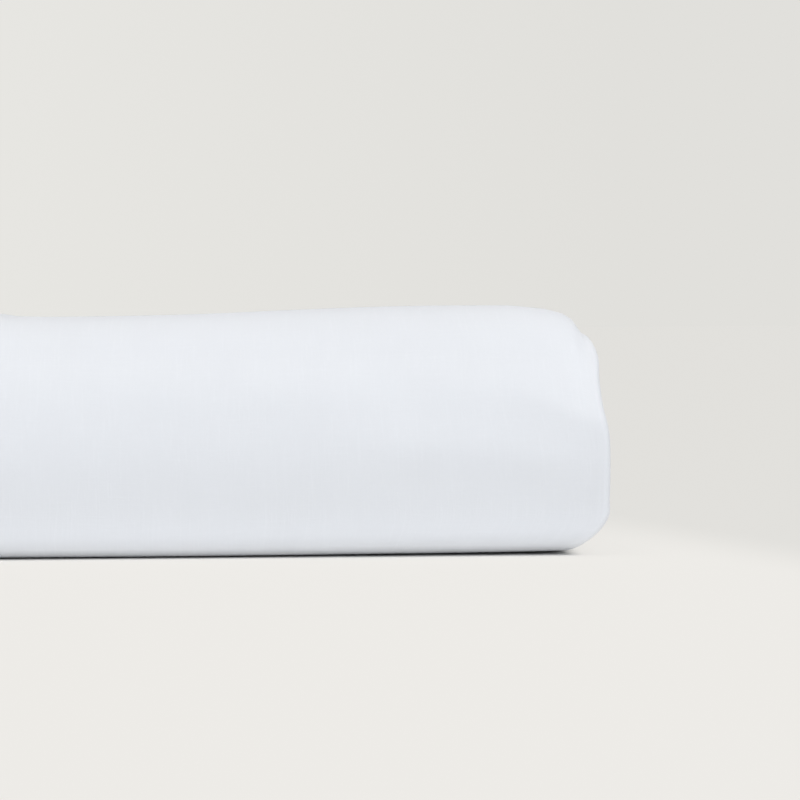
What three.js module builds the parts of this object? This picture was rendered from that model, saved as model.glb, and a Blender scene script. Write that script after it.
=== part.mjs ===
import * as THREE from 'three';

// Folded flat sheet, sizes in millimetres, +Z up.
// The spine of the last fold runs along X and faces -Y, the neat closed end is at +X,
// and the side hems finish inside the back at +Y.
// The cloth is halved three times into a strip one eighth of its length wide, then the
// strip is halved three times more, so eight runs of it lie on one another.
// The strip is drawn as two leaves joined by the closed fold at +X. Each leaf stands for
// four thicknesses of cloth with the air between them.

const BUNDLE_WIDTH = 325;
const BUNDLE_DEPTH = 311;
const LEAF_THICKNESS = 2.9;
const LEAF_GAP = 0.6;
const RUN_GAP = 1.2;
const RUN_COUNT = 8;
const NOSE_STEPS = 4;
const RUN_STEPS = 3;

const RUN_THICKNESS = 2 * LEAF_THICKNESS + LEAF_GAP;
const RUN_PITCH = RUN_THICKNESS + RUN_GAP;
const STACK_HEIGHT = RUN_COUNT * RUN_PITCH - RUN_GAP;
const NOSE_RADIUS = (LEAF_THICKNESS + LEAF_GAP) / 2;

const CLOTH_COLOUR = 0xe6e9ee;
const CLOTH_ROUGHNESS = 0.92;

// Folds in the order the strip meets them. Level 0 is the top run and 7 the bottom one.
// Inset is from the front or back of the bundle to the outside of the fold, crest is the
// height of its most outward point, and the two lengths say how deep its curve is on the
// side where the strip comes in and on the side where it goes out. Steps has one number for
// each of those two sides.
const FOLDS = [
  { side: 'front', from: 7, to: 0, inset: 0, crest: 10, lengthIn: 5, lengthOut: 25, steps: [5, 11] },
  { side: 'back', from: 0, to: 3, inset: 0, crest: 43, lengthIn: 12, lengthOut: 10, steps: [4, 4] },
  { side: 'front', from: 3, to: 4, inset: 24.6, crest: 29.8, lengthIn: 3.8, lengthOut: 3.8, steps: [3, 3] },
  { side: 'back', from: 4, to: 5, inset: 3.5, crest: 22.2, lengthIn: 3.8, lengthOut: 3.8, steps: [3, 3] },
  { side: 'front', from: 5, to: 2, inset: 16.4, crest: 25, lengthIn: 6, lengthOut: 11, steps: [4, 4] },
  { side: 'back', from: 2, to: 1, inset: 9.5, crest: 45, lengthIn: 3.8, lengthOut: 3.8, steps: [3, 3] },
  { side: 'front', from: 1, to: 6, inset: 8.2, crest: 17, lengthIn: 18, lengthOut: 6, steps: [6, 4] },
];
const FIRST_EDGE_INSET = 1;
const LAST_EDGE_INSET = 15;

// Where the grid lines cross the strip, closer together towards the closed end.
const WIDTH_STATIONS = [-162.5, -154, -90, -20, 18, 66, 106, 132, 145, 151, 154.5, 157];

// How far each run lies out of line along X, from the bottom hem edge to the last one.
const RUN_SHIFTS = [
  { run: 0.5, shift: -0.6 },
  { run: 1.5, shift: 0.2 },
  { run: 2.5, shift: -2.8 },
  { run: 3.5, shift: -0.8 },
  { run: 4.5, shift: -3.6 },
  { run: 5.5, shift: -1.6 },
  { run: 6.5, shift: -2.6 },
  { run: 7.5, shift: -0.4 },
];

// Height of the bundle along X. It dips left of the middle and is fullest over the closed
// folds.
const TOP_HEIGHTS = [
  { x: -162.5, height: 57 },
  { x: -150, height: 59.7 },
  { x: -120, height: 60.9 },
  { x: -70, height: 60.2 },
  { x: -20, height: 60 },
  { x: 0, height: 60.6 },
  { x: 8, height: 61.1 },
  { x: 13, height: 60.1 },
  { x: 18, height: 59.9 },
  { x: 30, height: 59.7 },
  { x: 62, height: 60.2 },
  { x: 87, height: 61.1 },
  { x: 111, height: 61.8 },
  { x: 130, height: 61.9 },
  { x: 162.5, height: 61.4 },
];

// How far the top falls off as a soft shoulder at the closed end. The lower runs fall less.
const CORNER_POWER = 3;
const CORNER_DROPS = [
  { x: 141, drop: 0.1 },
  { x: 146, drop: 0.5 },
  { x: 150, drop: 1.1 },
  { x: 154, drop: 2.3 },
  { x: 158, drop: 4.8 },
  { x: 161, drop: 6.3 },
  { x: 163, drop: 6.6 },
];

// How that height changes from the spine to the back, as a share of it.
const DEPTH_SHARES = [
  { y: -155, share: 1 },
  { y: -90, share: 0.995 },
  { y: 0, share: 0.975 },
  { y: 90, share: 0.97 },
  { y: 155, share: 0.985 },
];

// Outline of the closed end, how far it draws in at each height.
const END_OUTLINE = [
  { z: 0, draw: -7.8 },
  { z: 2, draw: -4.8 },
  { z: 5, draw: -1.2 },
  { z: 8, draw: 0.5 },
  { z: 12, draw: 1.2 },
  { z: 22, draw: 1.2 },
  { z: 29, draw: 0.85 },
  { z: 37, draw: -0.35 },
  { z: 44, draw: -0.8 },
  { z: 51, draw: -0.8 },
  { z: 60, draw: -2.35 },
];
const END_DRAW_START = 60;

// How far the spine stands out at each height. It fades out away from the spine.
const SPINE_FADE_DEPTH = 95;
const SPINE_PROFILE = [
  { z: 0, stand: 0 },
  { z: 4, stand: 0.07 },
  { z: 7, stand: -0.21 },
  { z: 11, stand: -0.19 },
  { z: 16, stand: 0.53 },
  { z: 22, stand: 1.47 },
  { z: 28, stand: 1.82 },
  { z: 34, stand: 1.78 },
  { z: 39, stand: 1.75 },
  { z: 44, stand: 1.29 },
  { z: 49, stand: 0.46 },
  { z: 54, stand: 0.3 },
  { z: 60, stand: 0 },
];

// Soft creases that fan out over the spine near the closed end. Each crease line has its
// height, how far it stands out and how rounded it is at places along X, and its flanks reach
// so far below and above it.
const SPINE_CREASES = [
  {
    below: 30,
    above: 16,
    line: [
      { x: 60, height: 41, stand: 0, roundness: 4 },
      { x: 95, height: 41, stand: 0.4, roundness: 3 },
      { x: 114, height: 39.5, stand: 0.5, roundness: 2 },
      { x: 128, height: 41.5, stand: 0.4, roundness: 1.5 },
      { x: 140, height: 40.6, stand: 0.6, roundness: 1 },
      { x: 152, height: 34.9, stand: 1.6, roundness: 0.7 },
      { x: 162, height: 31.5, stand: 2.3, roundness: 0.5 },
    ],
  },
  {
    below: 9,
    above: 13,
    line: [
      { x: 96, height: 25, stand: 0, roundness: 3 },
      { x: 116, height: 26.5, stand: 0.6, roundness: 2.5 },
      { x: 132, height: 25.5, stand: 0.6, roundness: 2 },
      { x: 146, height: 23.5, stand: 0.6, roundness: 1.6 },
      { x: 162, height: 25, stand: 0.1, roundness: 1.6 },
    ],
  },
];

// The lower front corner is fuller than the round of the fold inside it.
const CORNER_SIZE = 10;
const CORNER_FILL = 1;

// How far the lower edge of the spine stands off the surface that the bundle rests on.
const LIP_DEPTH = 18;
const LIP_LIFTS = [
  { x: -162.5, lift: 0.5 },
  { x: 0, lift: 0.5 },
  { x: 70, lift: 0.6 },
  { x: 110, lift: 0.9 },
  { x: 140, lift: 1.2 },
  { x: 162.5, lift: 1.6 },
];

// The line of the spine is not quite straight.
const SPINE_BOW = [
  { x: -162.5, bow: 1.4 },
  { x: -90, bow: 0.2 },
  { x: -10, bow: 0.8 },
  { x: 60, bow: 0 },
  { x: 120, bow: 0.3 },
  { x: 162.5, bow: 1.2 },
];

const smoothTable = (rows, key, value) => {
  const positions = rows.map((row) => row[key]);
  const curve = new THREE.CubicInterpolant(positions, rows.map((row) => row[value]), 1);
  const first = positions[0];
  const last = positions[positions.length - 1];
  return (at) => curve.evaluate(THREE.MathUtils.clamp(at, first, last))[0];
};

const topHeight = smoothTable(TOP_HEIGHTS, 'x', 'height');
const depthShare = smoothTable(DEPTH_SHARES, 'y', 'share');
const endDraw = smoothTable(END_OUTLINE, 'z', 'draw');
const spineBow = smoothTable(SPINE_BOW, 'x', 'bow');
const runShift = smoothTable(RUN_SHIFTS, 'run', 'shift');
const cornerDrop = smoothTable(CORNER_DROPS, 'x', 'drop');
const lipLift = smoothTable(LIP_LIFTS, 'x', 'lift');
const spineStand = smoothTable(SPINE_PROFILE, 'z', 'stand');
const creases = SPINE_CREASES.map(({ below, above, line }) => ({
  below,
  above,
  height: smoothTable(line, 'x', 'height'),
  stand: smoothTable(line, 'x', 'stand'),
  roundness: smoothTable(line, 'x', 'roundness'),
}));

const levelHeight = (level) => RUN_THICKNESS / 2 + (RUN_COUNT - 1 - level) * RUN_PITCH;

// A point of a path with its left-hand normal.
const pathPoint = (along, up, tangentAlong, tangentUp, run) => {
  const length = Math.hypot(tangentAlong, tangentUp);
  return { along, up, normalAlong: -tangentUp / length, normalUp: tangentAlong / length, run };
};

// Curve of one fold, two quarters of ellipses that meet at its crest.
const foldPoints = (fold, index) => {
  const outward = fold.side === 'front' ? -1 : 1;
  const crestY = outward * (BUNDLE_DEPTH / 2 - RUN_THICKNESS / 2 - fold.inset);
  const riseIn = fold.crest - levelHeight(fold.from);
  const riseOut = levelHeight(fold.to) - fold.crest;
  const [stepsIn, stepsOut] = fold.steps;
  const points = [];
  for (let step = 0; step <= stepsIn; step += 1) {
    const turn = (step / stepsIn) * (Math.PI / 2);
    const y = crestY - outward * fold.lengthIn * (1 - Math.sin(turn));
    const z = fold.crest - riseIn * Math.cos(turn);
    const tangentY = outward * fold.lengthIn * Math.cos(turn);
    const tangentZ = riseIn * Math.sin(turn);
    points.push(pathPoint(y, z, tangentY, tangentZ, index + 1));
  }
  for (let step = 1; step <= stepsOut; step += 1) {
    const turn = (step / stepsOut) * (Math.PI / 2);
    const y = crestY - outward * fold.lengthOut * (1 - Math.cos(turn));
    const z = fold.crest + riseOut * Math.sin(turn);
    const tangentY = -outward * fold.lengthOut * Math.sin(turn);
    const tangentZ = riseOut * Math.cos(turn);
    points.push(pathPoint(y, z, tangentY, tangentZ, index + 1));
  }
  return points;
};

// Grid lines on the flat part of a run, between the folds at its two ends.
const runPoints = (start, finish, level, index) => {
  const points = [];
  for (let step = 1; step < RUN_STEPS; step += 1) {
    const share = step / RUN_STEPS;
    const y = THREE.MathUtils.lerp(start, finish, share);
    points.push(pathPoint(y, levelHeight(level), finish - start, 0, index + share));
  }
  return points;
};

// The back-and-forth path of the strip, from the bottom hem edge to the last one.
const stripPath = () => {
  const firstLevel = FOLDS[0].from;
  const lastLevel = FOLDS[FOLDS.length - 1].to;
  const firstY = BUNDLE_DEPTH / 2 - FIRST_EDGE_INSET;
  const lastY = BUNDLE_DEPTH / 2 - LAST_EDGE_INSET;
  const path = [pathPoint(firstY, levelHeight(firstLevel), -1, 0, 0)];
  FOLDS.forEach((fold, index) => {
    const curve = foldPoints(fold, index);
    const before = path[path.length - 1];
    path.push(...runPoints(before.along, curve[0].along, fold.from, index), ...curve);
  });
  const before = path[path.length - 1];
  path.push(...runPoints(before.along, lastY, lastLevel, FOLDS.length));
  path.push(pathPoint(lastY, levelHeight(lastLevel), 1, 0, RUN_COUNT));
  return path;
};

// Section of the strip, one leaf out to the closed fold and the other leaf back.
const leafPath = () => {
  const noseStart = BUNDLE_WIDTH / 2 - RUN_THICKNESS / 2;
  const stations = [...WIDTH_STATIONS, noseStart];
  const out = stations.map((x) => pathPoint(x, -NOSE_RADIUS, 1, 0, 0));
  const nose = [];
  for (let step = 1; step < NOSE_STEPS; step += 1) {
    const turn = (step / NOSE_STEPS) * Math.PI - Math.PI / 2;
    const x = noseStart + NOSE_RADIUS * Math.cos(turn);
    nose.push(pathPoint(x, NOSE_RADIUS * Math.sin(turn), -Math.sin(turn), Math.cos(turn), 0));
  }
  const back = stations.map((x) => pathPoint(x, NOSE_RADIUS, -1, 0, 0)).reverse();
  return [...out, ...nose, ...back];
};

// A soft ridge at a distance from its line, 1 on the line and 0 at the end of its flanks.
const ridge = (distance, below, above, roundness) => {
  const reach = distance < 0 ? below : above;
  const share = Math.max(0, 1 - (Math.hypot(distance, roundness) - roundness) / reach);
  return share * share;
};

// How far the spine stands out of its plain curve.
const spineOut = (x, z) => creases.reduce((sum, crease) => {
  const line = ridge(z - crease.height(x), crease.below, crease.above, crease.roundness(x));
  return sum + crease.stand(x) * line;
}, spineStand(z));

// Soft unevenness of the whole bundle, with the resting face kept flat.
const settle = (plainX, y, plainZ) => {
  const toEnd = THREE.MathUtils.smoothstep(plainX, END_DRAW_START, BUNDLE_WIDTH / 2);
  const x = plainX + endDraw(plainZ) * toEnd;
  const level = plainZ / STACK_HEIGHT;
  const behind = y + BUNDLE_DEPTH / 2;
  const forward = Math.max(0, 1 - behind / CORNER_SIZE);
  const down = Math.max(0, 1 - plainZ / CORNER_SIZE);
  const fill = CORNER_FILL * (2 * forward * down) ** 2;
  const lift = lipLift(x) * (1 - THREE.MathUtils.smoothstep(behind, 0, LIP_DEPTH)) * (1 - level) ** 2;
  const drop = cornerDrop(x) * level ** CORNER_POWER;
  const z = level * topHeight(x) * depthShare(y) - drop + lift - fill;
  const atFront = 1 - THREE.MathUtils.smoothstep(behind, 0, SPINE_FADE_DEPTH);
  return [x, y - (fill - spineBow(x) + spineOut(x, z)) * atFront, z];
};

// A point of the cloth, on one face of a leaf at a place along the strip.
const clothPoint = (leaf, strip, side) => {
  const offset = (side * LEAF_THICKNESS) / 2;
  const x = leaf.along + offset * leaf.normalAlong;
  const depth = leaf.up + offset * leaf.normalUp;
  const y = strip.along + depth * strip.normalAlong;
  const z = strip.up + depth * strip.normalUp;
  return settle(x + runShift(strip.run), y, z);
};

// One closed body, two faces of the cloth joined by rims along its four edges.
const sheetGeometry = () => {
  const leaves = leafPath();
  const path = stripPath();
  const positions = [];
  for (const side of [1, -1]) {
    for (const strip of path) {
      for (const leaf of leaves) {
        positions.push(...clothPoint(leaf, strip, side));
      }
    }
  }
  const across = leaves.length;
  const along = path.length;
  const faceSize = across * along;
  const vertex = (column, row, face) => face * faceSize + row * across + column;
  const triangles = [];
  const quad = (a, b, c, d) => triangles.push(a, b, c, a, c, d);
  for (let row = 0; row + 1 < along; row += 1) {
    for (let column = 0; column + 1 < across; column += 1) {
      for (const face of [0, 1]) {
        const a = vertex(column, row, face);
        const b = vertex(column + 1, row, face);
        const c = vertex(column + 1, row + 1, face);
        const d = vertex(column, row + 1, face);
        if (face === 0) quad(a, b, c, d);
        else quad(a, d, c, b);
      }
    }
  }
  const rim = (fromColumn, fromRow, toColumn, toRow) => quad(
    vertex(fromColumn, fromRow, 0),
    vertex(fromColumn, fromRow, 1),
    vertex(toColumn, toRow, 1),
    vertex(toColumn, toRow, 0),
  );
  for (let column = 0; column + 1 < across; column += 1) {
    rim(column, 0, column + 1, 0);
    rim(column + 1, along - 1, column, along - 1);
  }
  for (let row = 0; row + 1 < along; row += 1) {
    rim(across - 1, row, across - 1, row + 1);
    rim(0, row + 1, 0, row);
  }
  const geometry = new THREE.BufferGeometry();
  geometry.setAttribute('position', new THREE.Float32BufferAttribute(positions, 3));
  geometry.setIndex(triangles);
  return geometry;
};

// The origin is at the middle of the resting face.
const centreOnFloor = (geometry) => {
  geometry.computeBoundingBox();
  const { min, max } = geometry.boundingBox;
  geometry.translate(-(min.x + max.x) / 2, -(min.y + max.y) / 2, -min.z);
  geometry.computeVertexNormals();
  return geometry;
};

const material = new THREE.MeshStandardMaterial({
  color: CLOTH_COLOUR,
  roughness: CLOTH_ROUGHNESS,
  metalness: 0,
});

const sheet = new THREE.Mesh(centreOnFloor(sheetGeometry()), material);
sheet.name = 'sheet';

const bundle = new THREE.Group();
bundle.name = 'folded_flat_sheet';
bundle.add(sheet);

export default bundle;
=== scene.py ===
"""Folded flat bed sheet, built whole: one cloth with turned hems.

It is folded in half three times each way. The tables of the cloth and of the view are in
millimetres. The stage and the finished meshes are in metres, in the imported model's frame.
"""

import math

import bpy
import numpy as np
from bpy.props import FloatProperty, FloatVectorProperty, PointerProperty
from mathutils import Matrix, Vector


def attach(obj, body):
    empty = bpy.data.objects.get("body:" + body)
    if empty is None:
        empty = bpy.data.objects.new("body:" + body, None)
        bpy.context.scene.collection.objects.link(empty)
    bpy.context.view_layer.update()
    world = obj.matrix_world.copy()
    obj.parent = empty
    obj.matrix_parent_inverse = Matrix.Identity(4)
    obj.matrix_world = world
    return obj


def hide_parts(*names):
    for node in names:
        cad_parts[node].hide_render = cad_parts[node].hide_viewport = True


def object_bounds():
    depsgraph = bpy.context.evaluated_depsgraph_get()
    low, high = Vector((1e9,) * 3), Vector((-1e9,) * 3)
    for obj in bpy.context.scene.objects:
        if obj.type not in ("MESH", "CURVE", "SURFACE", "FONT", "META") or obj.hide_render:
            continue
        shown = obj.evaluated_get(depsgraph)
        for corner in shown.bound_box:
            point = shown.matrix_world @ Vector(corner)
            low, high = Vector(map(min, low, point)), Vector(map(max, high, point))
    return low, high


bl_info = {
    "name": "Folded Flat Sheet",
    "version": (1, 0, 0),
    "blender": (4, 5, 0),
    "location": "3D View > Sidebar > Linen",
    "description": "Builds a folded flat bed sheet with its hems and stitching",
    "category": "Add Mesh",
}

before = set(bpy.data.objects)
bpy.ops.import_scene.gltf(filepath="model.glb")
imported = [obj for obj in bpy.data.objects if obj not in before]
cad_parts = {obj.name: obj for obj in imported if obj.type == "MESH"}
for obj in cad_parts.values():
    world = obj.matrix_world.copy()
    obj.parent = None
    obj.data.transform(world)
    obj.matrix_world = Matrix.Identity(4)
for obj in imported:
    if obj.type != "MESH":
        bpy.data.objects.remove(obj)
CAD_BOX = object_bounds()

MM = 0.001
CLOTH_NODE = "sheet"
FLAT_MAP = "flat cloth"

# The cloth folds the same way twice. The closed side is the spine for the runs of the strip
# and the right end for the layers of cloth in it. Level 0 is the top one and 7 the lowest.
FOLD_ORDER = (
    {"side": "closed", "from": 7, "to": 0},
    {"side": "open", "from": 0, "to": 3},
    {"side": "closed", "from": 3, "to": 4},
    {"side": "open", "from": 4, "to": 5},
    {"side": "closed", "from": 5, "to": 2},
    {"side": "open", "from": 2, "to": 1},
    {"side": "closed", "from": 1, "to": 6},
)
LEVELS = 8

# Folds of the strip, in the same order. Inset is from the front or back of the bundle to the
# outside of the fold, and crest is the height of its most outward point.
RUN_FOLDS = (
    {"inset": 0, "crest": 10, "length_in": 5, "length_out": 25, "steps": (9, 40)},
    {"inset": 0, "crest": 43, "length_in": 12, "length_out": 10, "steps": (7, 7)},
    {"inset": 24.6, "crest": 29.8, "length_in": 3.8, "length_out": 3.8, "steps": (4, 4)},
    {"inset": 3.5, "crest": 22.2, "length_in": 3.8, "length_out": 3.8, "steps": (4, 4)},
    {"inset": 16.4, "crest": 25, "length_in": 6, "length_out": 11, "steps": (5, 6)},
    {"inset": 9.5, "crest": 45, "length_in": 3.8, "length_out": 3.8, "steps": (5, 5)},
    {"inset": 8.2, "crest": 17, "length_in": 18, "length_out": 6, "steps": (8, 5)},
)
BUNDLE_WIDTH = 325
BUNDLE_DEPTH = 311
RUN_THICKNESS = 6.4
RUN_PITCH = 7.6
STACK_HEIGHT = LEVELS * RUN_PITCH - (RUN_PITCH - RUN_THICKNESS)
FIRST_EDGE_INSET = 1
LAST_EDGE_INSET = 15

# Folds of the cloth inside the strip: how far each lags behind the strip's end, its steps to a
# quarter turn, and its length as a share of half its height. The widest fold at the open end
# spans twice OPEN_END_LAYERS, and the widest one at the closed end spans them all.
LAYER_LAGS = (0, 0.6, 0, 1.6, 0, 0.3, 0)
LAYER_FOLD_STEPS = (7, 3, 3, 3, 3, 3, 4)
NOSE_SHARE = 0.6
OPEN_END_LAYERS = 1.5
HEAD_EDGE_INSET = 0.9
FOOT_EDGE_INSET = 2.6

# Spacing of the grid lines across the strip. The outer layer shows, so it has more of them.
OUTER_STATIONS = (
    {"from": -162, "to": 10, "gap": 7},
    {"from": 10, "to": 140, "gap": 4},
    {"from": 140, "to": 152, "gap": 2},
    {"from": 152, "to": 158.8, "gap": 1.15},
)
INNER_STATIONS = (
    {"from": -161, "to": 95, "gap": 51},
    {"from": 95, "to": 152, "gap": 14},
    {"from": 152, "to": 158.8, "gap": 1.7},
)
OUTER_LAYER = 1

# Half the width of the step in thickness at the inner edge of a hem, and how far short of that
# edge the strip's other grid lines stop.
HEM_STEP = 0.5
HEM_CLEARANCE = 2

# Grid lines on the flat part of a run keep this far from its ends.
FOLD_CLEARANCE = 0.3

# The sewing runs this far inside the inner edge of each hem, half sunk in the cloth. The lowest
# stitches stand out from the cloth's underside, and the bundle rests on them.
STITCH_INSET = 1.5
STITCH_RISE = -0.08
STITCH_PROUD = 0.12

# Spacing of the grid lines along each run of the strip.
TOP_RUN_STATIONS = ({"from": -140, "to": 150, "gap": 16},)
RUN_STATIONS = ({"from": -140, "to": 150, "gap": 58},)
TOP_RUN = 1

# How far each run lies out of line along X, from the first hem edge to the last one.
RUN_SHIFTS = (
    (0.5, -0.6),
    (1.5, 0.2),
    (2.5, -2.8),
    (3.5, -0.8),
    (4.5, -3.6),
    (5.5, -1.6),
    (6.5, -2.6),
    (7.5, -0.4),
)

# Height of the bundle along X.
TOP_HEIGHTS = (
    (-162.5, 57),
    (-150, 59.7),
    (-120, 60.9),
    (-70, 60.2),
    (-20, 60),
    (-11, 60.4),
    (-3, 61),
    (2, 59.85),
    (7, 59.73),
    (30, 59.57),
    (62, 60),
    (87, 60.94),
    (111, 61.64),
    (130, 61.75),
    (162.5, 61.34),
)

# Share of that height from the spine to the back.
DEPTH_SHARES = ((-155, 1), (-90, 0.995), (0, 0.975), (90, 0.97), (155, 0.985))

# How far the closed end draws in at each height.
END_OUTLINE = (
    (0, -7.73),
    (2, -4.79),
    (5, -1.03),
    (8, 1.02),
    (12, 1.16),
    (22, 1.28),
    (29, 1.07),
    (37, -0.24),
    (44, -0.66),
    (51, -0.47),
    (60, -2.58),
)
END_DRAW_START = 60

# Soft creases along the spine. Below and above are how far the flanks reach, and each row of the
# line is a place along X, the crease's height, how far it stands out and how rounded it is.
SPINE_CREASES = (
    {
        "below": 30,
        "above": 16,
        "line": (
            (60, 41, 0, 4),
            (95, 41, 0.68, 3),
            (114, 40.6, -0.15, 2),
            (128, 40.56, 0.43, 1.5),
            (140, 40.95, 0.6, 1),
            (152, 35.25, 1.61, 0.7),
            (162, 32.2, 2.57, 0.5),
        ),
    },
    {
        "below": 9,
        "above": 13,
        "line": (
            (96, 25, 0, 3),
            (116, 26.5, 0.89, 2.5),
            (132, 25.5, 0.48, 2),
            (146, 23.5, 0.84, 1.6),
            (162, 25, -0.1, 1.6),
        ),
    },
)
SPINE_DEPTH = 95

# How far the spine stands out at each height, all along it.
SPINE_PROFILE = (
    (0, 0),
    (4, 0.25),
    (7, -0.17),
    (11, -0.13),
    (16, 0.71),
    (22, 1.67),
    (28, 2.04),
    (34, 1.99),
    (39, 1.92),
    (44, 1.42),
    (49, 0.44),
    (54, 0.39),
    (60, 0),
)

# The lower front corner is fuller than the round of the fold inside it, as far as CORNER_SIZE
# from the front and from the surface.
CORNER_SIZE = 10
CORNER_FILL = 1

# How far the lower edge of the spine stands off the surface, how deep into the bundle that
# reaches, and how fast it fades upwards.
LIP_LIFTS = ((-162.5, 0.5), (0, 0.5), (70, 0.5), (110, 0.74), (140, 0.98), (162.5, 1.45))
LIP_DEPTH = 18
LIP_POWER = 2

# How far the top corner drops towards the closed end. The layers below it drop less.
CORNER_POWER = 3
CORNER_DROPS = (
    (141, 0.3),
    (145, 0.66),
    (150, 1.18),
    (152.5, 1.83),
    (154, 2.2),
    (155.5, 3.13),
    (157, 4.31),
    (158.5, 6.74),
    (160.5, 6.7),
    (163, 6.03),
)

# Bow of the spine's line along X.
SPINE_BOW = ((-162.5, 1.4), (-90, 0.2), (-10, 0.8), (60, 0), (120, 0.3), (162.5, 1.2))


class SheetSizes(bpy.types.PropertyGroup):
    """Sizes of the cloth, its hems and its sewing."""

    flat_length: FloatProperty(
        name="Flat length",
        description="Length of the unfolded sheet, from head hem to foot hem",
        default=2.6,
        unit="LENGTH",
    )
    flat_width: FloatProperty(
        name="Flat width",
        description="Width of the unfolded sheet between its side hems",
        default=2.4,
        unit="LENGTH",
    )
    cloth_thickness: FloatProperty(
        name="Cloth thickness",
        description="Thickness of one layer of the woven cloth",
        default=0.0004,
        unit="LENGTH",
    )
    hem_thickness: FloatProperty(
        name="Hem thickness",
        description="Thickness where the cloth is turned over and sewn",
        default=0.00074,
        unit="LENGTH",
    )
    head_hem: FloatProperty(
        name="Head hem",
        description="Depth of the deep hem at the head of the sheet",
        default=0.1,
        unit="LENGTH",
    )
    foot_hem: FloatProperty(
        name="Foot hem",
        description="Depth of the hem at the foot of the sheet",
        default=0.025,
        unit="LENGTH",
    )
    side_hem: FloatProperty(
        name="Side hem",
        description="Depth of the narrow hems along the sides",
        default=0.012,
        unit="LENGTH",
    )
    stitch_spacing: FloatProperty(
        name="Stitch spacing",
        description="Distance from one hem stitch to the next",
        default=0.0034,
        unit="LENGTH",
    )
    stitch_length: FloatProperty(
        name="Stitch length",
        description="Length of thread that shows in each stitch",
        default=0.0029,
        unit="LENGTH",
    )
    thread_width: FloatProperty(
        name="Thread width",
        description="Width of the sewing thread",
        default=0.0004,
        unit="LENGTH",
    )


class SheetColours(bpy.types.PropertyGroup):
    """Colours of the cloth and of the stage."""

    cloth: FloatVectorProperty(
        name="Cloth",
        description="Cool white of the woven cotton",
        subtype="COLOR",
        size=3,
        min=0,
        max=1,
        default=(0.711, 0.724, 0.7515),
    )
    thread: FloatVectorProperty(
        name="Sewing thread",
        description="White of the hem stitches",
        subtype="COLOR",
        size=3,
        min=0,
        max=1,
        default=(0.84, 0.85, 0.87),
    )
    floor: FloatVectorProperty(
        name="Floor",
        description="Pale floor in front of and under the bundle",
        subtype="COLOR",
        size=3,
        min=0,
        max=1,
        default=(0.863, 0.847, 0.815),
    )
    far_floor: FloatVectorProperty(
        name="Far floor",
        description="Tone that the floor takes behind the bundle",
        subtype="COLOR",
        size=3,
        min=0,
        max=1,
        default=(0.772, 0.762, 0.733),
    )
    wall_left: FloatVectorProperty(
        name="Wall, left",
        description="Wall behind the bundle at the left of the picture",
        subtype="COLOR",
        size=3,
        min=0,
        max=1,
        default=(0.807, 0.799, 0.768),
    )
    wall_right: FloatVectorProperty(
        name="Wall, right",
        description="Wall behind the bundle at the right of the picture",
        subtype="COLOR",
        size=3,
        min=0,
        max=1,
        default=(0.753, 0.745, 0.716),
    )


def smooth_table(rows):
    """A smooth curve through the rows of a table, held level beyond its ends."""
    at, value = (np.array(column, dtype=float) for column in zip(*rows))
    secant = np.diff(value) / np.diff(at)
    slope = np.concatenate([secant[:1], (secant[:-1] + secant[1:]) / 2, secant[-1:]])

    def read(where):
        where = np.clip(where, at[0], at[-1])
        row = np.clip(np.searchsorted(at, where, side="right") - 1, 0, len(at) - 2)
        gap = at[row + 1] - at[row]
        share = (where - at[row]) / gap
        square, cube = share**2, share**3
        return (
            (2 * cube - 3 * square + 1) * value[row]
            + (cube - 2 * square + share) * gap * slope[row]
            + (3 * square - 2 * cube) * value[row + 1]
            + (cube - square) * gap * slope[row + 1]
        )

    return read


def smooth_step(value, low, high):
    """0 below low, 1 above high, with a soft change between."""
    share = np.clip((value - low) / (high - low), 0, 1)
    return share * share * (3 - 2 * share)


top_height = smooth_table(TOP_HEIGHTS)
depth_share = smooth_table(DEPTH_SHARES)
end_draw = smooth_table(END_OUTLINE)
spine_bow = smooth_table(SPINE_BOW)
run_shift = smooth_table(RUN_SHIFTS)
corner_drop = smooth_table(CORNER_DROPS)
lip_lift = smooth_table(LIP_LIFTS)
spine_profile = smooth_table(SPINE_PROFILE)
creases = [
    {
        **crease,
        "line": [smooth_table([(row[0], row[k]) for row in crease["line"]]) for k in (1, 2, 3)],
    }
    for crease in SPINE_CREASES
]


def spread(rows):
    """Positions of grid lines from a table of stretches and the gap in each."""
    places = []
    for row in rows:
        count = max(1, round((row["to"] - row["from"]) / row["gap"]))
        places.extend(np.linspace(row["from"], row["to"], count + 1))
    return sorted(set(places))


def fold_curve(fold, height_of, outward, edge):
    """Two quarters of ellipses that meet at the crest of a fold, with the way the path runs."""
    crest = outward * (edge - fold["inset"])
    lengths = (fold["length_in"], fold["length_out"])
    rises = (fold["crest"] - height_of(fold["from"]), height_of(fold["to"]) - fold["crest"])
    quarters = []
    for begin, length, rise, steps in zip((-math.pi / 2, 0), lengths, rises, fold["steps"]):
        turn = np.linspace(begin, begin + math.pi / 2, steps + 1)
        quarters.append(
            np.stack(
                [
                    crest - outward * length * (1 - np.cos(turn)),
                    fold["crest"] + rise * np.sin(turn),
                    -outward * length * np.sin(turn),
                    rise * np.cos(turn),
                ]
            )
        )
    return np.hstack([quarters[0], quarters[1][:, 1:]])


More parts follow.
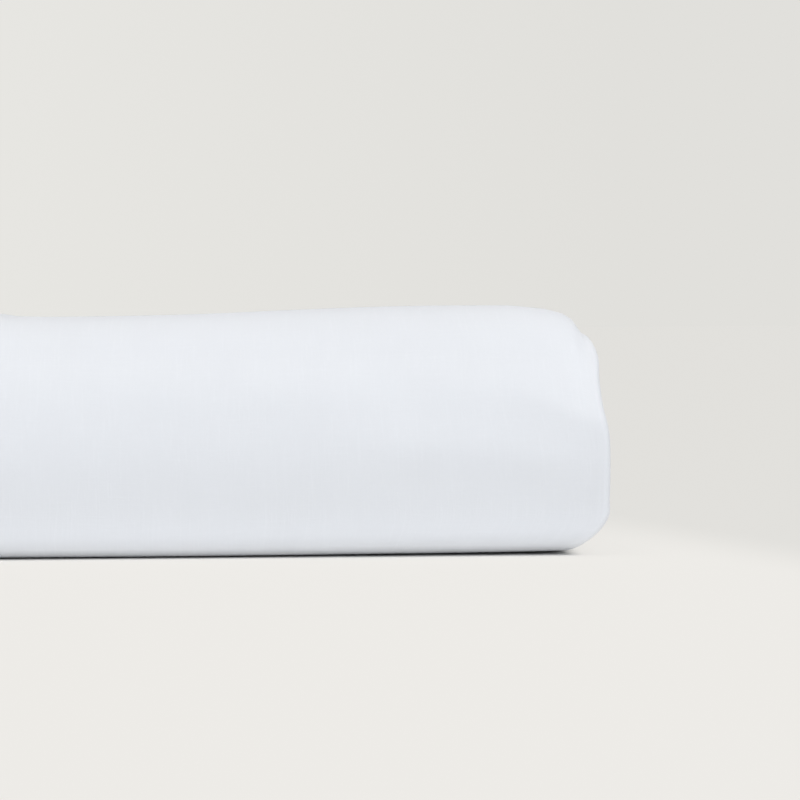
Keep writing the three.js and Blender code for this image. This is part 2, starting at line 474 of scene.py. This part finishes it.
def back_and_forth(folds, height_of, outward, edge, start, finish, stations):
    """The path of a folded strip: along, up, its left-hand normal, run number and length."""
    first, last = folds[0]["from"], folds[-1]["to"]
    pieces = [np.array([[start], [height_of(first)], [outward], [0.0]])]
    runs = [np.zeros(1)]
    for index, fold in enumerate(folds):
        sign = outward if fold["side"] == "closed" else -outward
        curve = fold_curve(fold, height_of, sign, edge)
        begin, end = pieces[-1][0, -1], curve[0, 0]
        flat = flat_run(begin, end, height_of(fold["from"]), stations(index))
        pieces += [flat, curve]
        runs += [index + (flat[0] - begin) / (end - begin)]
        runs += [np.full(curve.shape[1], index + 1.0)]
    begin = pieces[-1][0, -1]
    flat = flat_run(begin, finish, height_of(last), stations(len(folds)))
    pieces += [flat, np.array([[finish], [height_of(last)], [-outward], [0.0]])]
    runs += [len(folds) + (flat[0] - begin) / (finish - begin)]
    runs += [np.full(1, len(folds) + 1.0)]
    along, up, tangent_along, tangent_up = np.hstack(pieces)
    size = np.hypot(tangent_along, tangent_up)
    length = np.concatenate([[0], np.cumsum(np.hypot(np.diff(along), np.diff(up)))])
    return {
        "along": along,
        "up": up,
        "normal_along": -tangent_up / size,
        "normal_up": tangent_along / size,
        "run": np.concatenate(runs),
        "length": length,
    }


def flat_run(start, finish, height, places):
    """Grid lines on the flat part of a run, clear of the folds at its ends."""
    low, high = min(start, finish) + FOLD_CLEARANCE, max(start, finish) - FOLD_CLEARANCE
    way = 1 if finish > start else -1
    inside = np.array([place for place in places if low < place < high])[::way]
    ones = np.ones(len(inside))
    return np.stack([inside, height * ones, way * ones, 0 * ones])


def strip_path(sizes):
    """Path of the strip through the bundle, seen along X: depth in the bundle and height."""
    folds = [{**order, **shape} for order, shape in zip(FOLD_ORDER, RUN_FOLDS)]
    hem = sizes.side_hem / MM
    start = BUNDLE_DEPTH / 2 - FIRST_EDGE_INSET
    finish = BUNDLE_DEPTH / 2 - LAST_EDGE_INSET

    def stations(run):
        places = spread(TOP_RUN_STATIONS if run == TOP_RUN else RUN_STATIONS)
        if run in (0, len(folds)):
            inner = (start if run == 0 else finish) - hem
            places = [place for place in places if place < inner - HEM_CLEARANCE]
            places += [inner - HEM_STEP, inner + HEM_STEP, inner + STITCH_INSET]
        return places

    return back_and_forth(
        folds,
        lambda level: RUN_THICKNESS / 2 + (LEVELS - 1 - level) * RUN_PITCH,
        -1,
        BUNDLE_DEPTH / 2 - RUN_THICKNESS / 2,
        start,
        finish,
        stations,
    )


def layer_path(sizes):
    """Path of the cloth through the strip, seen along the strip: place along X and depth."""
    cloth = sizes.cloth_thickness / MM
    pitch = (RUN_THICKNESS - cloth) / (LEVELS - 1)

    def height_of(level):
        return (LEVELS - 1) / 2 * pitch - level * pitch

    folds = []
    for order, lag, steps in zip(FOLD_ORDER, LAYER_LAGS, LAYER_FOLD_STEPS):
        radius = abs(height_of(order["from"]) - height_of(order["to"])) / 2
        centre = (height_of(order["from"]) + height_of(order["to"])) / 2
        outermost = (LEVELS - 1) / 2 if order["side"] == "closed" else OPEN_END_LAYERS
        length = radius * NOSE_SHARE
        folds.append(
            {
                **order,
                "inset": outermost * pitch - radius + lag,
                "crest": centre,
                "length_in": length,
                "length_out": length,
                "steps": (steps, steps),
            }
        )
    head, foot = sizes.head_hem / MM, sizes.foot_hem / MM
    start = -BUNDLE_WIDTH / 2 + HEAD_EDGE_INSET
    finish = -BUNDLE_WIDTH / 2 + FOOT_EDGE_INSET

    def stations(run):
        places = spread(OUTER_STATIONS if run == OUTER_LAYER else INNER_STATIONS)
        if run in (0, len(folds)):
            inner = start + head if run == 0 else finish + foot
            places += [inner - STITCH_INSET, inner - HEM_STEP, inner + HEM_STEP]
        return sorted(places)

    edge = BUNDLE_WIDTH / 2 - cloth / 2
    return back_and_forth(folds, height_of, 1, edge, start, finish, stations)


def ridge(distance, below, above, roundness):
    """Height of a soft ridge at a distance from its line: 1 on it, falling to 0 on its flanks."""
    reach = np.where(distance < 0, below, above)
    share = np.clip(1 - (np.hypot(distance, roundness) - roundness) / reach, 0, 1)
    return share * share


def settle(x, y, z):
    """Soft unevenness of the whole bundle, with the resting face kept flat."""
    front = -BUNDLE_DEPTH / 2
    x = x + end_draw(z) * smooth_step(x, END_DRAW_START, BUNDLE_WIDTH / 2)
    level = z / STACK_HEIGHT
    at_lip = (1 - smooth_step(y, front, front + LIP_DEPTH)) * (1 - level) ** LIP_POWER
    forward = np.clip(1 - (y - front) / CORNER_SIZE, 0, 1)
    down = np.clip(1 - z / CORNER_SIZE, 0, 1)
    corner = CORNER_FILL * (2 * forward * down) ** 2
    z = level * top_height(x) * depth_share(y) - corner_drop(x) * level**CORNER_POWER
    z = z + lip_lift(x) * at_lip - corner
    out = corner - spine_bow(x)
    spine = spine_profile(z)
    for crease in creases:
        height, stand, roundness = (part(x) for part in crease["line"])
        spine = spine + stand * ridge(z - height, crease["below"], crease["above"], roundness)
    at_front = 1 - smooth_step(y, front, front + SPINE_DEPTH)
    return x, y - (out + spine) * at_front, z


def cloth_points(layers, strip, offset):
    """Points of the cloth at an offset from its middle, one row for each step of the strip."""
    x = layers["along"] + offset * layers["normal_along"]
    depth = layers["up"] + offset * layers["normal_up"]
    y = strip["along"][:, None] + depth * strip["normal_along"][:, None]
    z = strip["up"][:, None] + depth * strip["normal_up"][:, None]
    return np.stack(settle(x + run_shift(strip["run"])[:, None], y, z), axis=-1)


def hem_thickness(sizes, layers, strip):
    """Thickness of the cloth over the grid, fuller where a hem is turned."""

    def past(length, edge):
        return smooth_step(length, edge - HEM_STEP, edge + HEM_STEP)

    across, along = layers["length"], strip["length"][:, None]
    side, head, foot = (hem / MM for hem in (sizes.side_hem, sizes.head_hem, sizes.foot_hem))
    ends = np.maximum(1 - past(across, head), past(across, across[-1] - foot))
    sides = np.maximum(1 - past(along, side), past(along, along[-1] - side))
    hem = np.maximum(ends, sides)
    cloth = sizes.cloth_thickness / MM
    return cloth + (sizes.hem_thickness / MM - cloth) * hem


def grid_faces(across, along):
    """Faces of the two sides of the cloth and of the rims that close its four edges."""
    size = across * along

    def vertex(column, row, side):
        return side * size + row * across + column

    grids = np.meshgrid(np.arange(across - 1), np.arange(along - 1))
    column, row = (grid.ravel() for grid in grids)
    corners = [(column, row), (column + 1, row), (column + 1, row + 1), (column, row + 1)]
    face = np.stack([vertex(c, r, 0) for c, r in corners], axis=1)
    back = np.stack([vertex(c, r, 1) for c, r in reversed(corners)], axis=1)
    columns, rows = np.arange(across), np.arange(along)
    edges = (
        (columns, np.zeros_like(columns)),
        (columns[::-1], np.full_like(columns, along - 1)),
        (np.full_like(rows, across - 1), rows),
        (np.zeros_like(rows), rows[::-1]),
    )
    rims = []
    for edge_columns, edge_rows in edges:
        near, far = vertex(edge_columns, edge_rows, 0), vertex(edge_columns, edge_rows, 1)
        rims.append(np.stack([near[:-1], far[:-1], far[1:], near[1:]], axis=1))
    return np.vstack([face, back, *rims])


def new_object(name, mesh):
    """A mesh object in the scene's own collection, at the origin."""
    piece = bpy.data.objects.new(name, mesh)
    bpy.context.scene.collection.objects.link(piece)
    return piece


def folded_cloth(sizes):
    """The grid of the cloth with its two faces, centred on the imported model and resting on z 0."""
    layers, strip = layer_path(sizes), strip_path(sizes)
    half = hem_thickness(sizes, layers, strip) / 2
    faces = np.stack([cloth_points(layers, strip, side * half) for side in (1, -1)])
    flat = faces.reshape(-1, 3)
    low, high = flat.min(axis=0), flat.max(axis=0)
    middle = (np.array(CAD_BOX[0]) + np.array(CAD_BOX[1])) / 2 / MM
    shift = middle - (low + high) / 2
    shift[2] = CAD_BOX[0][2] / MM - low[2] + STITCH_PROUD
    return {"layers": layers, "strip": strip, "half": half, "faces": faces + shift, "shift": shift}


class Wire:
    """A shader socket that takes part in plain arithmetic."""

    def __init__(self, shader, socket):
        self.shader = shader
        self.socket = socket

    def _combine(self, operation, first, second):
        return self.shader.wire("ShaderNodeMath", {0: first, 1: second}, operation=operation)

    def __add__(self, other):
        return self._combine("ADD", self, other)

    __radd__ = __add__

    def __sub__(self, other):
        return self._combine("SUBTRACT", self, other)

    def __rsub__(self, other):
        return self._combine("SUBTRACT", other, self)

    def __mul__(self, other):
        return self._combine("MULTIPLY", self, other)

    __rmul__ = __mul__


# Places of the Mix node's colour sockets, whose names it shares with other sockets.
COLOUR_A, COLOUR_B, MIXED_COLOUR = 6, 7, 2


class Nodes:
    """A node tree, built node by node."""

    def __init__(self, tree):
        self.tree = tree
        tree.nodes.clear()

    def node(self, kind, sockets=None, **settings):
        """Adds a node, sets its settings first and then its sockets' values or links."""
        made = self.tree.nodes.new(kind)
        for name, value in settings.items():
            setattr(made, name, value)
        for key, value in (sockets or {}).items():
            slot = made.inputs[key]
            source = value.socket if isinstance(value, Wire) else value
            if isinstance(source, bpy.types.NodeSocket):
                self.tree.links.new(source, slot)
            else:
                slot.default_value = source
        return made

    def wire(self, kind, sockets=None, **settings):
        """The same, giving the new node's first output for arithmetic."""
        return Wire(self, self.node(kind, sockets, **settings).outputs[0])

    def rise(self, value, span, shape="SMOOTHSTEP"):
        """0 below a span of the value and 1 above it, with a change between."""
        sockets = {"Value": value, "From Min": span[0], "From Max": span[1]}
        return self.wire("ShaderNodeMapRange", sockets, interpolation_type=shape)

    def mix(self, share, first, second):
        """The blend of two colours."""
        sockets = {"Factor": share, COLOUR_A: first, COLOUR_B: second}
        return self.node("ShaderNodeMix", sockets, data_type="RGBA").outputs[MIXED_COLOUR]


# Noise drawn on the flat cloth. Scale is how many patches lie in a metre across the sheet and
# along it, seed is the depth in the noise, peaks is the range that shows, where that is not all
# of it, and relief and shade are its shares of the bump and of the tone.
WEAVE_COLUMNS = ("scale", "detail", "seed", "peaks", "relief", "shade")
WEAVE = {
    "slubs up": ((1500, 140), 2, 1.7, (0.48, 0.78), 0.35, 0.013),
    "slubs along": ((110, 1500), 2, 9.2, (0.5, 0.8), 0.35, 0.009),
    "grain": ((1400, 1400), 3, 4.4, None, 0.3, 0.02),
    "cloud": ((28, 40), 2, 6.1, None, 1.2, 0.03),
    "patch": ((150, 60), 2, 3.5, None, None, 0.025),
    "threads up": ((3600, 500), 1, 2.3, None, 0.4, None),
    "threads along": ((500, 3600), 1, 7.9, None, 0.4, None),
}

# The finish of the cloth and of the thread. Tone and roughness are each a base value and the
# share that the noise adds.
CLOTH_TONE = 0.965
CLOTH_ROUGHNESS = (0.84, 0.1)
CLOTH_BUMP = {"Strength": 0.35, "Distance": 0.00008}
CLOTH_SHEEN = {
    "Specular IOR Level": 0.3,
    "Sheen Weight": 0.15,
    "Sheen Roughness": 0.5,
    "Sheen Tint": (1, 1, 1, 1),
}
THREAD_TWIST = {"Scale": 4000, "Detail": 1}
THREAD_TONE = (0.94, 0.06)
THREAD_ROUGHNESS = (0.5, 0.15)
THREAD_BUMP = {"Strength": 0.4, "Distance": 0.0001}
THREAD_SHEEN = {"Sheen Weight": 0.2}


def new_material(name):
    """A material with an empty tree, ready for its nodes."""
    material = bpy.data.materials.new(name)
    material.use_nodes = True
    return material, Nodes(material.node_tree)


def finish_fabric(shader, colour, shade, roughness, bump, sheen):
    """A soft surface in one colour, shaded, with its relief and sheen."""
    sockets = {0: tuple(colour), "Scale": shade}
    tint = shader.node("ShaderNodeVectorMath", sockets, operation="SCALE")
    relief = shader.node("ShaderNodeBump", bump)
    sockets = {"Base Color": tint.outputs[0], "Roughness": roughness, "Normal": relief.outputs[0]}
    surface = shader.node("ShaderNodeBsdfPrincipled", {**sockets, **sheen})
    shader.node("ShaderNodeOutputMaterial", {"Surface": surface.outputs[0]})


def cloth_material(colours):
    """Cool white plain weave with fine slubs along both sets of threads."""
    material, shader = new_material("percale")
    place = shader.node("ShaderNodeUVMap", uv_map=FLAT_MAP).outputs[0]
    rows = {name: dict(zip(WEAVE_COLUMNS, row)) for name, row in WEAVE.items()}
    drawn = {}
    for name, row in rows.items():
        spot = shader.node("ShaderNodeMapping", {"Vector": place, "Scale": (*row["scale"], 1)})
        sockets = {0: spot.outputs[0], 1: (0, 0, row["seed"])}
        spot = shader.node("ShaderNodeVectorMath", sockets, operation="ADD")
        sockets = {"Vector": spot.outputs[0], "Scale": 1, "Detail": row["detail"]}
        noise = shader.wire("ShaderNodeTexNoise", sockets, noise_dimensions="3D")
        drawn[name] = shader.rise(noise, row["peaks"]) if row["peaks"] else noise

    def total(column, base):
        for name, row in rows.items():
            if row[column]:
                base = base + row[column] * drawn[name]
        return base

    rough, rough_more = CLOTH_ROUGHNESS
    finish_fabric(
        shader,
        colours.cloth,
        total("shade", CLOTH_TONE),
        rough + rough_more * drawn["grain"],
        {**CLOTH_BUMP, "Height": total("relief", 0)},
        CLOTH_SHEEN,
    )
    return material


class LINEN_OT_fold_sheet(bpy.types.Operator):
    """Build the whole sheet, folded into its bundle."""

    bl_idname = "linen.fold_sheet"
    bl_label = "Fold the sheet"

    def execute(self, context):
        sizes, colours = context.scene.sheet_sizes, context.scene.sheet_colours
        cloth = folded_cloth(sizes)
        layers, strip = cloth["layers"], cloth["strip"]
        points = cloth["faces"] * MM
        across, along = len(layers["along"]), len(strip["along"])
        mesh = bpy.data.meshes.new(CLOTH_NODE)
        mesh.from_pydata(points.reshape(-1, 3).tolist(), [], grid_faces(across, along).tolist())
        mesh.materials.append(cloth_material(colours))
        flat = np.stack(np.meshgrid(layers["length"], strip["length"]), axis=-1) * MM
        flat = np.tile(flat.reshape(-1, 2), (2, 1))
        corner = np.empty(len(mesh.loops), dtype=np.int32)
        mesh.loops.foreach_get("vertex_index", corner)
        mesh.uv_layers.new(name=FLAT_MAP).data.foreach_set("uv", flat[corner].ravel())
        mesh.polygons.foreach_set("use_smooth", np.ones(len(mesh.polygons), dtype=bool))
        if mesh.validate():
            raise RuntimeError("the folded sheet's mesh has faults")
        mesh.update()
        piece = new_object("flat_sheet", mesh)
        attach(piece, "root")
        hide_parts(CLOTH_NODE)
        return {"FINISHED"}


def thread_material(colours):
    """White sewing thread with its fine twist."""
    material, shader = new_material("sewing thread")
    place = shader.node("ShaderNodeTexCoord").outputs["Object"]
    sockets = {"Vector": place, **THREAD_TWIST}
    twist = shader.wire("ShaderNodeTexNoise", sockets, noise_dimensions="3D")
    shade, roughness = (base + more * twist for base, more in (THREAD_TONE, THREAD_ROUGHNESS))
    bump = {**THREAD_BUMP, "Height": twist}
    finish_fabric(shader, colours.thread, shade, roughness, bump, THREAD_SHEEN)
    return material


def hem_rows(sizes, cloth):
    """Where the sewing runs on each face of each hem, with the way the face looks out."""
    layers, strip = cloth["layers"], cloth["strip"]
    across, along = layers["length"], strip["length"]

    def nearest(lengths, place):
        return int(np.argmin(np.abs(lengths - place)))

    side, head, foot = (hem / MM for hem in (sizes.side_hem, sizes.head_hem, sizes.foot_hem))
    every = slice(None)
    lines = [
        (layers, (nearest(along, side - STITCH_INSET), every)),
        (layers, (nearest(along, along[-1] - side + STITCH_INSET), every)),
        (strip, (every, nearest(across, head - STITCH_INSET))),
        (strip, (every, nearest(across, across[-1] - foot + STITCH_INSET))),
    ]
    middle = cloth_points(layers, strip, 0) + cloth["shift"]
    rows = []
    for sign in (1, -1):
        face = cloth_points(layers, strip, sign * (cloth["half"] + STITCH_RISE)) + cloth["shift"]
        for path, line in lines:
            out = face[line] - middle[line]
            out = out / np.linalg.norm(out, axis=1, keepdims=True)
            for run in range(LEVELS):
                flat = (path["run"] > run) & (path["run"] < run + 1)
                rows.append((face[line][flat] * MM, out[flat]))
    return rows


# Each stitch is a small ball of thread, stretched, turned along its line and towards this
# attribute of the line, which says which way the cloth faces.
STITCH_BALL = {"Segments": 4, "Rings": 3, "Radius": 0.5}
OUT_ATTRIBUTE = "out"


def stitch_tree():
    """Geometry nodes that set a stitch at every step along a line, flat on the cloth."""
    tree = bpy.data.node_groups.new("hem stitches", "GeometryNodeTree")
    ports = {
        "Lines": "NodeSocketGeometry",
        "Spacing": "NodeSocketFloat",
        "Stitch": "NodeSocketVector",
        "Thread": "NodeSocketMaterial",
    }
    for name, kind in ports.items():
        tree.interface.new_socket(name, in_out="INPUT", socket_type=kind)
    tree.interface.new_socket("Stitches", in_out="OUTPUT", socket_type="NodeSocketGeometry")
    maker = Nodes(tree)
    given = maker.node("NodeGroupInput").outputs
    line = maker.node("GeometryNodeMeshToCurve", {"Mesh": given["Lines"]})
    steps = maker.node(
        "GeometryNodeResampleCurve",
        {0: line.outputs[0], "Length": given["Spacing"]},
        mode="LENGTH",
    )
    ball = maker.node("GeometryNodeMeshUVSphere", STITCH_BALL)
    stitch = maker.node("GeometryNodeTransform", {0: ball.outputs[0], "Scale": given["Stitch"]})
    soft = maker.node("GeometryNodeSetShadeSmooth", {0: stitch.outputs[0]})
    way = maker.node("GeometryNodeInputTangent").outputs[0]
    out = maker.node(
        "GeometryNodeInputNamedAttribute", {"Name": OUT_ATTRIBUTE}, data_type="FLOAT_VECTOR"
    )
    turned = maker.node("FunctionNodeAlignRotationToVector", {"Vector": way}, axis="X")
    laid = maker.node(
        "FunctionNodeAlignRotationToVector",
        {"Rotation": turned.outputs[0], "Vector": out.outputs[0]},
        axis="Z",
        pivot_axis="X",
    )
    row = maker.node(
        "GeometryNodeInstanceOnPoints",
        {"Points": steps.outputs[0], "Instance": soft.outputs[0], "Rotation": laid.outputs[0]},
    )
    real = maker.node("GeometryNodeRealizeInstances", {0: row.outputs[0]})
    sewn = maker.node("GeometryNodeSetMaterial", {0: real.outputs[0], "Material": given["Thread"]})
    maker.node("NodeGroupOutput", {0: sewn.outputs[0]})
    return tree


class LINEN_OT_sew_hems(bpy.types.Operator):
    """Sew a row of stitches along both faces of every hem."""

    bl_idname = "linen.sew_hems"
    bl_label = "Sew the hems"

    def execute(self, context):
        sizes = context.scene.sheet_sizes
        rows = hem_rows(sizes, folded_cloth(sizes))
        edges, start = [], 0
        for points, _ in rows:
            finish = start + len(points)
            edges += [(at, at + 1) for at in range(start, finish - 1)]
            start = finish
        guide = bpy.data.meshes.new("hem lines")
        guide.from_pydata(np.vstack([points for points, _ in rows]).tolist(), edges, [])
        out = guide.attributes.new(OUT_ATTRIBUTE, "FLOAT_VECTOR", "POINT")
        out.data.foreach_set("vector", np.vstack([way for _, way in rows]).ravel())
        piece = new_object("hem_stitches", guide)
        modifier = piece.modifiers.new("stitches", "NODES")
        modifier.node_group = stitch_tree()
        inputs = {
            "Spacing": sizes.stitch_spacing,
            "Stitch": (sizes.stitch_length, sizes.thread_width, sizes.thread_width),
            "Thread": thread_material(context.scene.sheet_colours),
        }
        for item in modifier.node_group.interface.items_tree:
            if item.name in inputs:
                modifier[item.identifier] = inputs[item.name]
        ready = context.evaluated_depsgraph_get()
        mesh = bpy.data.meshes.new_from_object(piece.evaluated_get(ready), depsgraph=ready)
        piece.modifiers.remove(modifier)
        piece.data = mesh
        if not mesh.polygons:
            raise RuntimeError("the hems have no stitches")
        mesh.materials.clear()
        mesh.materials.append(inputs["Thread"])
        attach(piece, "root")
        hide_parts(CLOTH_NODE)
        return {"FINISHED"}


class LINEN_OT_declare_cloth(bpy.types.Operator):
    bl_idname = "linen.declare_cloth"
    bl_label = "Declare the cloth"

    def execute(self, context):
        return {"FINISHED"}


# Camera, found from the outline of the bundle in the photograph.
VIEW_TARGET = (112.8, -155, 38.6)
VIEW_DISTANCE = 1000
VIEW_TURN = -2
VIEW_RISE = 1.4
VIEW_ROLL = 0.38
PIXEL_SIZE = 0.245
IMAGE_WIDTH = 800
SENSOR_WIDTH = 36

# Stage, in metres. The floor takes the wall's tone over FLOOR_FADE, from front to back, so that
# no horizon shows. To the right of FADE_TURN_X that change comes forward, by FADE_TURN metres for
# each metre.
FLOOR_REACH = 8
FLOOR_FADE = (-0.11, 0.12)
FADE_TURN_X = 0.17
FADE_TURN = 4.5

# In front of the bundle and beside its right end the floor gives off this share of its tone, so
# that almost no shadow falls there. The two spans are where that starts, under the bundle's edge.
FLOOR_GLOW = 0.85
GLOW_STRENGTH = 0.98
GLOW_FRONT = (-0.164, -0.154)
GLOW_SIDE = (0.1535, 0.159)

# The wall's tone changes from left to right between these views of it, as the share of the view's
# direction that points along X.
WALL_FADE = (-0.09, 0.09)

# Soft suns: the way each shines from, as degrees to the right of the camera and above the floor.
LAMPS = (
    {
        "name": "front",
        "turn": 25,
        "rise": 12,
        "spread": 30,
        "power": 1.436,
        "colour": (0.884, 0.932, 1),
    },
    {
        "name": "overhead",
        "turn": 0,
        "rise": 85,
        "spread": 60,
        "power": 1.563,
        "colour": (1, 0.963, 0.913),
    },
)
ROOM_LIGHT = (0.424, 0.435, 0.449)


class LINEN_OT_set_stage(bpy.types.Operator):
    """Set the floor, the lights and the camera round the bundle."""

    bl_idname = "linen.set_stage"
    bl_label = "Set the stage"

    def execute(self, context):
        scene, colours = context.scene, context.scene.sheet_colours
        scene.view_settings.view_transform = "Standard"
        lay_floor(colours)
        paint_room(scene, colours)
        for row in LAMPS:
            hang_lamp(scene, row)
        place_camera(scene)
        return {"FINISHED"}


def lay_floor(colours):
    """A wide floor whose near tone turns into the wall's tone further back."""
    reach = FLOOR_REACH
    corners = [(-reach, -reach, 0), (reach, -reach, 0), (reach, reach, 0), (-reach, reach, 0)]
    mesh = bpy.data.meshes.new("floor")
    mesh.from_pydata(corners, [], [(0, 1, 2, 3)])
    material, shader = new_material("floor paint")
    place = shader.node("ShaderNodeTexCoord").outputs["Object"]
    parts = shader.node("ShaderNodeSeparateXYZ", {0: place}).outputs
    aside = FADE_TURN * shader.rise(parts["X"], (FADE_TURN_X, FADE_TURN_X + 1), "LINEAR")
    far = shader.rise(aside + parts["Y"], FLOOR_FADE)
    tone = shader.mix(far, (*colours.floor, 1), (*colours.far_floor, 1))
    behind = shader.rise(parts["Y"], GLOW_FRONT)
    beside = shader.rise(parts["X"], GLOW_SIDE)
    glow = FLOOR_GLOW * (1 - behind * (1 - beside))
    black = (0, 0, 0, 1)
    surface = shader.node(
        "ShaderNodeBsdfPrincipled",
        {
            "Base Color": shader.mix(glow, tone, black),
            "Emission Color": shader.mix(glow, black, tone),
            "Emission Strength": GLOW_STRENGTH,
            "Roughness": 1,
            "Specular IOR Level": 0,
        },
    )
    shader.node("ShaderNodeOutputMaterial", {"Surface": surface.outputs[0]})
    mesh.materials.append(material)
    new_object("floor", mesh)


def paint_room(scene, colours):
    """The wall that the camera sees, a little darker to the right, and the room's own light."""
    world = bpy.data.worlds.new("room")
    scene.world = world
    world.use_nodes = True
    shader = Nodes(world.node_tree)
    way = shader.node("ShaderNodeTexCoord").outputs["Generated"]
    across = shader.node("ShaderNodeSeparateXYZ", {0: way}).outputs["X"]
    share = shader.rise(across, WALL_FADE, "LINEAR")
    wall = shader.mix(share, (*colours.wall_left, 1), (*colours.wall_right, 1))
    seen = shader.node("ShaderNodeLightPath").outputs["Is Camera Ray"]
    shown = shader.mix(seen, (*ROOM_LIGHT, 1), wall)
    sky = shader.node("ShaderNodeBackground", {"Color": shown, "Strength": 1})
    shader.node("ShaderNodeOutputWorld", {"Surface": sky.outputs[0]})


def hang_lamp(scene, row):
    """One wide, soft, far light."""
    lamp = bpy.data.lights.new(row["name"], "SUN")
    lamp.energy = row["power"]
    lamp.angle = math.radians(row["spread"])
    lamp.color = row["colour"]
    holder = bpy.data.objects.new(row["name"], lamp)
    turn, rise = math.radians(row["turn"]), math.radians(row["rise"])
    source = Vector(
        (math.sin(turn) * math.cos(rise), -math.cos(turn) * math.cos(rise), math.sin(rise))
    )
    holder.location = source
    holder.rotation_euler = source.to_track_quat("Z", "Y").to_euler()
    scene.collection.objects.link(holder)


def place_camera(scene):
    """The photograph's view of the bundle."""
    turn, rise, roll = (math.radians(angle) for angle in (VIEW_TURN, VIEW_RISE, VIEW_ROLL))
    ahead = Vector(
        (-math.sin(turn) * math.cos(rise), math.cos(turn) * math.cos(rise), -math.sin(rise))
    )
    level = ahead.cross(Vector((0, 0, 1))).normalized()
    upright = level.cross(ahead)
    right = level * math.cos(roll) - upright * math.sin(roll)
    up = upright * math.cos(roll) + level * math.sin(roll)
    camera = bpy.data.cameras.new("camera")
    camera.sensor_width = SENSOR_WIDTH
    camera.lens = SENSOR_WIDTH * VIEW_DISTANCE / PIXEL_SIZE / IMAGE_WIDTH
    holder = bpy.data.objects.new("camera", camera)
    place = (Vector(VIEW_TARGET) - ahead * VIEW_DISTANCE) * MM
    turned = Matrix((right, up, -ahead)).transposed().to_4x4()
    holder.matrix_world = Matrix.Translation(place) @ turned
    scene.collection.objects.link(holder)
    scene.camera = holder


class LINEN_PT_tools(bpy.types.Panel):
    """Lists the steps that build the folded sheet."""

    bl_idname = "LINEN_PT_tools"
    bl_label = "Folded flat sheet"
    bl_space_type = "VIEW_3D"
    bl_region_type = "UI"
    bl_category = "Linen"

    def draw(self, context):
        for group in (context.scene.sheet_sizes, context.scene.sheet_colours):
            for name in type(group).__annotations__:
                self.layout.prop(group, name)
        for step in STEPS:
            self.layout.operator(step.bl_idname)


STEPS = (LINEN_OT_fold_sheet, LINEN_OT_sew_hems, LINEN_OT_declare_cloth, LINEN_OT_set_stage)
CLASSES = (SheetSizes, SheetColours, *STEPS, LINEN_PT_tools)


def register():
    """Adds the sheet's settings, steps and panel to Blender."""
    for cls in CLASSES:
        bpy.utils.register_class(cls)
    bpy.types.Scene.sheet_sizes = PointerProperty(type=SheetSizes)
    bpy.types.Scene.sheet_colours = PointerProperty(type=SheetColours)


def unregister():
    """Takes them out again."""
    del bpy.types.Scene.sheet_colours
    del bpy.types.Scene.sheet_sizes
    for cls in reversed(CLASSES):
        bpy.utils.unregister_class(cls)


def main():
    """Builds everything in order."""
    register()
    bpy.ops.linen.fold_sheet()
    bpy.ops.linen.sew_hems()
    bpy.ops.linen.declare_cloth()
    bpy.ops.linen.set_stage()


if __name__ == "__main__":
    main()
